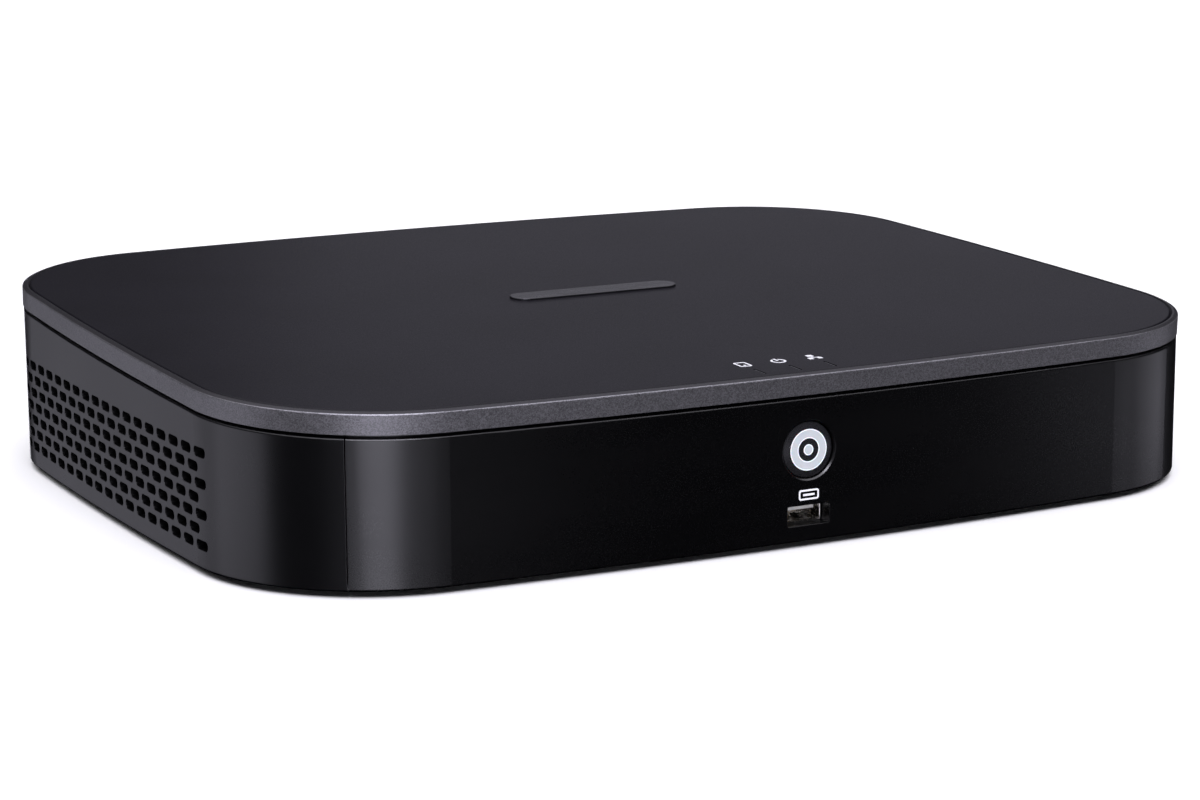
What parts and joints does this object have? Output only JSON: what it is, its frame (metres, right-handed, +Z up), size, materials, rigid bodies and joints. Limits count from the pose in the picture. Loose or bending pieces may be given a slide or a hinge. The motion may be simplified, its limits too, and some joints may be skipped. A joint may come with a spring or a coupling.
{
  "type": "security video recorder",
  "caption": "Desktop security video recorder: wedge-lidded rounded case with slotted sides, round front button and USB port, recessed rear jacks, disk drive and boards inside.",
  "frame": {"origin": "middle of the footprint, on the plane the feet stand on", "axes": "+X to the right as seen from the front, +Y towards the rear, +Z up"},
  "size_m": [0.325, 0.2576, 0.0599],
  "materials": {
    "shell_plastic": "fine-textured satin dark grey",
    "fascia_plastic": "smooth satin-gloss black",
    "lid_metallic": "satin metallic-grey paint with a fine sparkle",
    "panel_plastic": "matte charcoal",
    "badge_plastic": "gloss black",
    "plated_steel": "zinc plated",
    "black_steel": "black powder coat",
    "rubber": "matte",
    "black_screw": "black oxide",
    "clear_plastic": "clear polished acrylic",
    "white_ink": "printed white",
    "button_plastic": "satin dark grey",
    "ring_plastic": "translucent white",
    "board_green": "green solder mask",
    "lamp": "clear lens on white",
    "chip_black": "moulded epoxy",
    "nickel": "bright nickel",
    "brass_part": "machined",
    "gold": "gold flash",
    "ptfe": "white insulator",
    "black_plastic": "moulded",
    "white_plastic": "moulded",
    "blue_plastic": "moulded",
    "audio_plastic": "moulded",
    "heat_sink_alu": "anodised",
    "cast_alu": "cast, painted",
    "capacitor_can": "bright can",
    "cell_steel": "bright",
    "platter_mirror": "mirror",
    "red_lead": "flexible jacket",
    "yellow_lead": "flexible jacket",
    "grey_ribbon": "flexible jacket"
  },
  "bodies": {
    "case": {"lower_shell": "shell_plastic", "front_fascia": "fascia_plastic", "base_plate": "black_steel", "rear_panel": "black_steel", "rubber_feet": "rubber", "case_screws": "black_screw", "rear_panel_screws": "black_screw", "ground_screw": "nickel", "switch_body": "black_plastic", "front_board": "board_green", "indicator_lamps": "lamp", "usb_shells": "nickel", "usb_tongues": "white_plastic", "port_mark": "white_ink", "main_board": "board_green", "board_standoffs": "brass_part", "board_screws": "nickel", "processor": "chip_black", "heat_sink": "heat_sink_alu", "board_chips": "chip_black", "surface_parts": "nickel", "capacitors": "capacitor_can", "inductors": "chip_black", "coin_cell_holder": "black_plastic", "coin_cell": "cell_steel", "board_headers": "white_plastic", "jack_housings": "black_plastic", "bnc_barrels": "nickel", "bnc_insulators": "ptfe", "jack_contacts": "gold", "bnc_nuts": "nickel", "audio_shells": "nickel", "audio_inserts": "audio_plastic", "vga_port": "nickel", "vga_insert": "blue_plastic", "hdmi_port": "nickel", "lan_jack": "nickel", "dc_jack": "black_plastic", "hdd_base": "cast_alu", "hdd_cover": "plated_steel", "hdd_board": "board_green", "hdd_magnets": "nickel", "hdd_screws": "nickel", "fan_frame": "black_plastic", "lead_plugs": "black_plastic", "data_lead": "red_lead", "power_lead": "yellow_lead", "front_lead": "grey_ribbon"},
    "cover": {"cover_frame": "lid_metallic", "top_panel": "panel_plastic", "badge": "badge_plastic", "light_pipes": "clear_plastic", "indicator_marks": "white_ink"},
    "button": {"button_cap": "button_plastic", "button_light_ring": "ring_plastic"},
    "plunger": {"switch_plunger": "white_plastic"},
    "fan": {"fan_rotor": "black_plastic"},
    "disc": {"hdd_platter": "platter_mirror"},
    "arm": {"hdd_arm": "cast_alu"}
  },
  "joints": [
    {"name": "cover_lift", "type": "slide", "parent": "case", "child": "cover", "axis": [0, 0, 1], "range_m": [0, 0.08]},
    {"name": "button_press", "type": "slide", "parent": "case", "child": "button", "axis": [0, 1, 0], "range_m": [0, 0.0005], "stiffness_N_per_m": 3000},
    {"name": "switch_press", "type": "slide", "parent": "case", "child": "plunger", "axis": [0, 1, 0], "range_m": [0, 0.0005]},
    {"name": "fan_spin", "type": "hinge", "parent": "case", "child": "fan", "pos_m": [0.1516, 0.06, 0.0255], "axis": [1, 0, 0], "continuous": true},
    {"name": "disc_spin", "type": "hinge", "parent": "case", "child": "disc", "pos_m": [0.0808, -0.0455, 0.021], "axis": [0, 0, 1], "continuous": true},
    {"name": "arm_swing", "type": "hinge", "parent": "case", "child": "arm", "pos_m": [0.0888, 0.0108, 0.021], "axis": [0, 0, 1], "range_deg": [-35, 0]}
  ],
  "couplings": [
    {"joint": "switch_press", "follows": "button_press", "ratio": 1}
  ]
}
